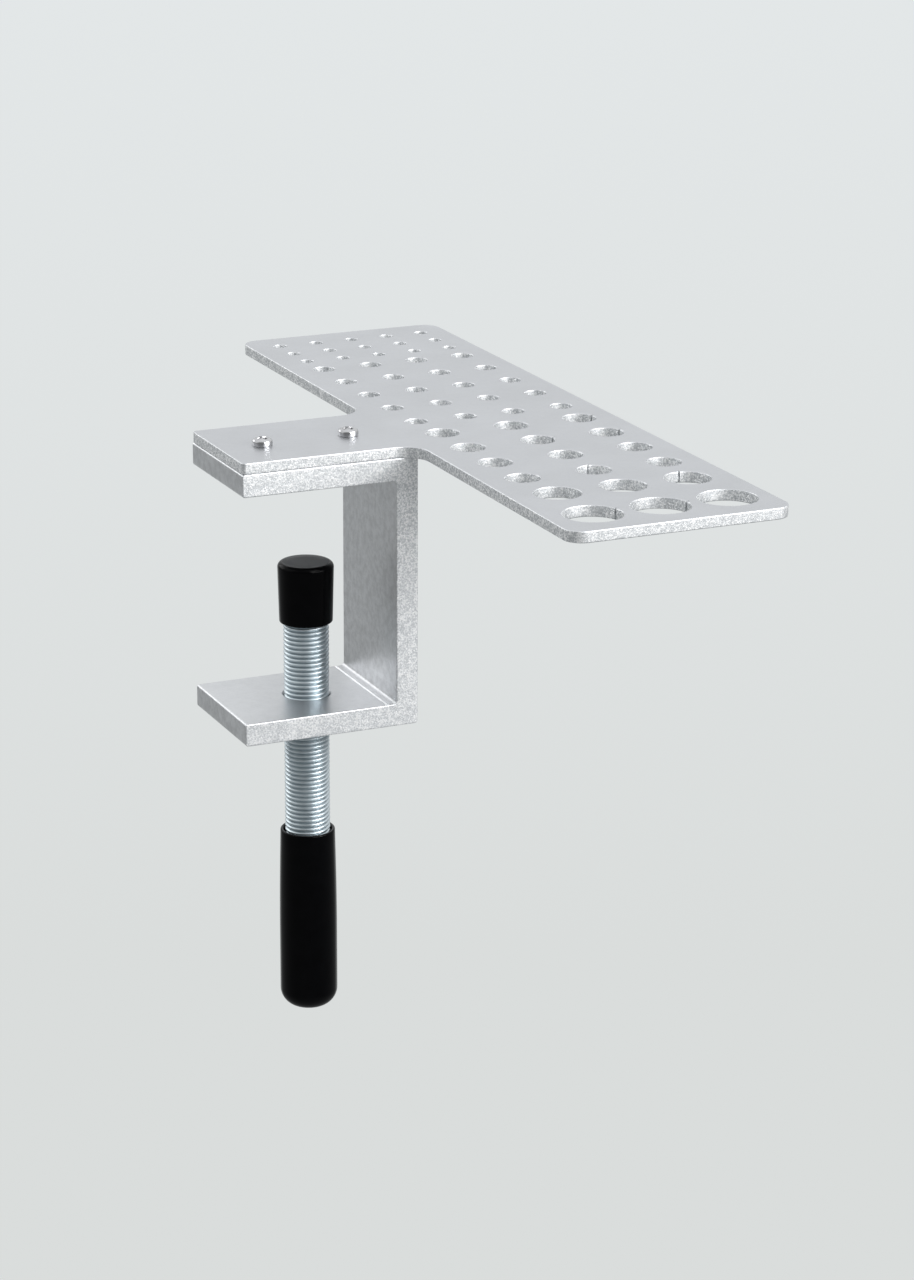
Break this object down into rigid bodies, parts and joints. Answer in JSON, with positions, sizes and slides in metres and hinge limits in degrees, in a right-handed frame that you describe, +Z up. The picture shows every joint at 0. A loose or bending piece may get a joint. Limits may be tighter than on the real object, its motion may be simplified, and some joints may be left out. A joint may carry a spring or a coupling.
{
  "type": "bench clamp tool holder",
  "caption": "T-shaped perforated aluminium holder plate screwed to a C-shaped bench clamp with a threaded rod, black pressure cap and black grip.",
  "frame": {"origin": "on the clamp screw's axis, in the underside of the bracket's upper arm, the face that sits on the bench top", "axes": "+X along the plate's stem towards its bar, +Y along the bar away from its largest holes, +Z up along the clamp screw"},
  "size_m": [0.1143, 0.2275, 0.1685],
  "materials": {
    "plate_aluminium": "satin, tumbled, edges deburred",
    "bracket_aluminium": "mill finish faces, sawn sides",
    "screw_nickel": "bright nickel",
    "rod_zinc": "bright zinc plated, fine thread",
    "black_vinyl": "dip-moulded gloss vinyl"
  },
  "bodies": {
    "frame": {"holder_plate": "plate_aluminium", "clamp_bracket": "bracket_aluminium", "plate_screw_outer": "screw_nickel", "plate_screw_inner": "screw_nickel"},
    "pad": {"pressure_cap": "black_vinyl"},
    "screw": {"clamp_screw": "rod_zinc", "handle_grip": "black_vinyl"}
  },
  "joints": [
    {"name": "screw_travel", "type": "slide", "parent": "frame", "child": "pad", "axis": [0, 0, 1], "range_m": [-0.0206, 0.0247]},
    {"name": "screw_turn", "type": "hinge", "parent": "pad", "child": "screw", "pos_m": [0, 0, 0], "axis": [0, 0, 1], "range_deg": [-5850, 7020]}
  ],
  "couplings": [
    {"joint": "screw_turn", "follows": "screw_travel", "rad_per_m": 4947.4}
  ]
}
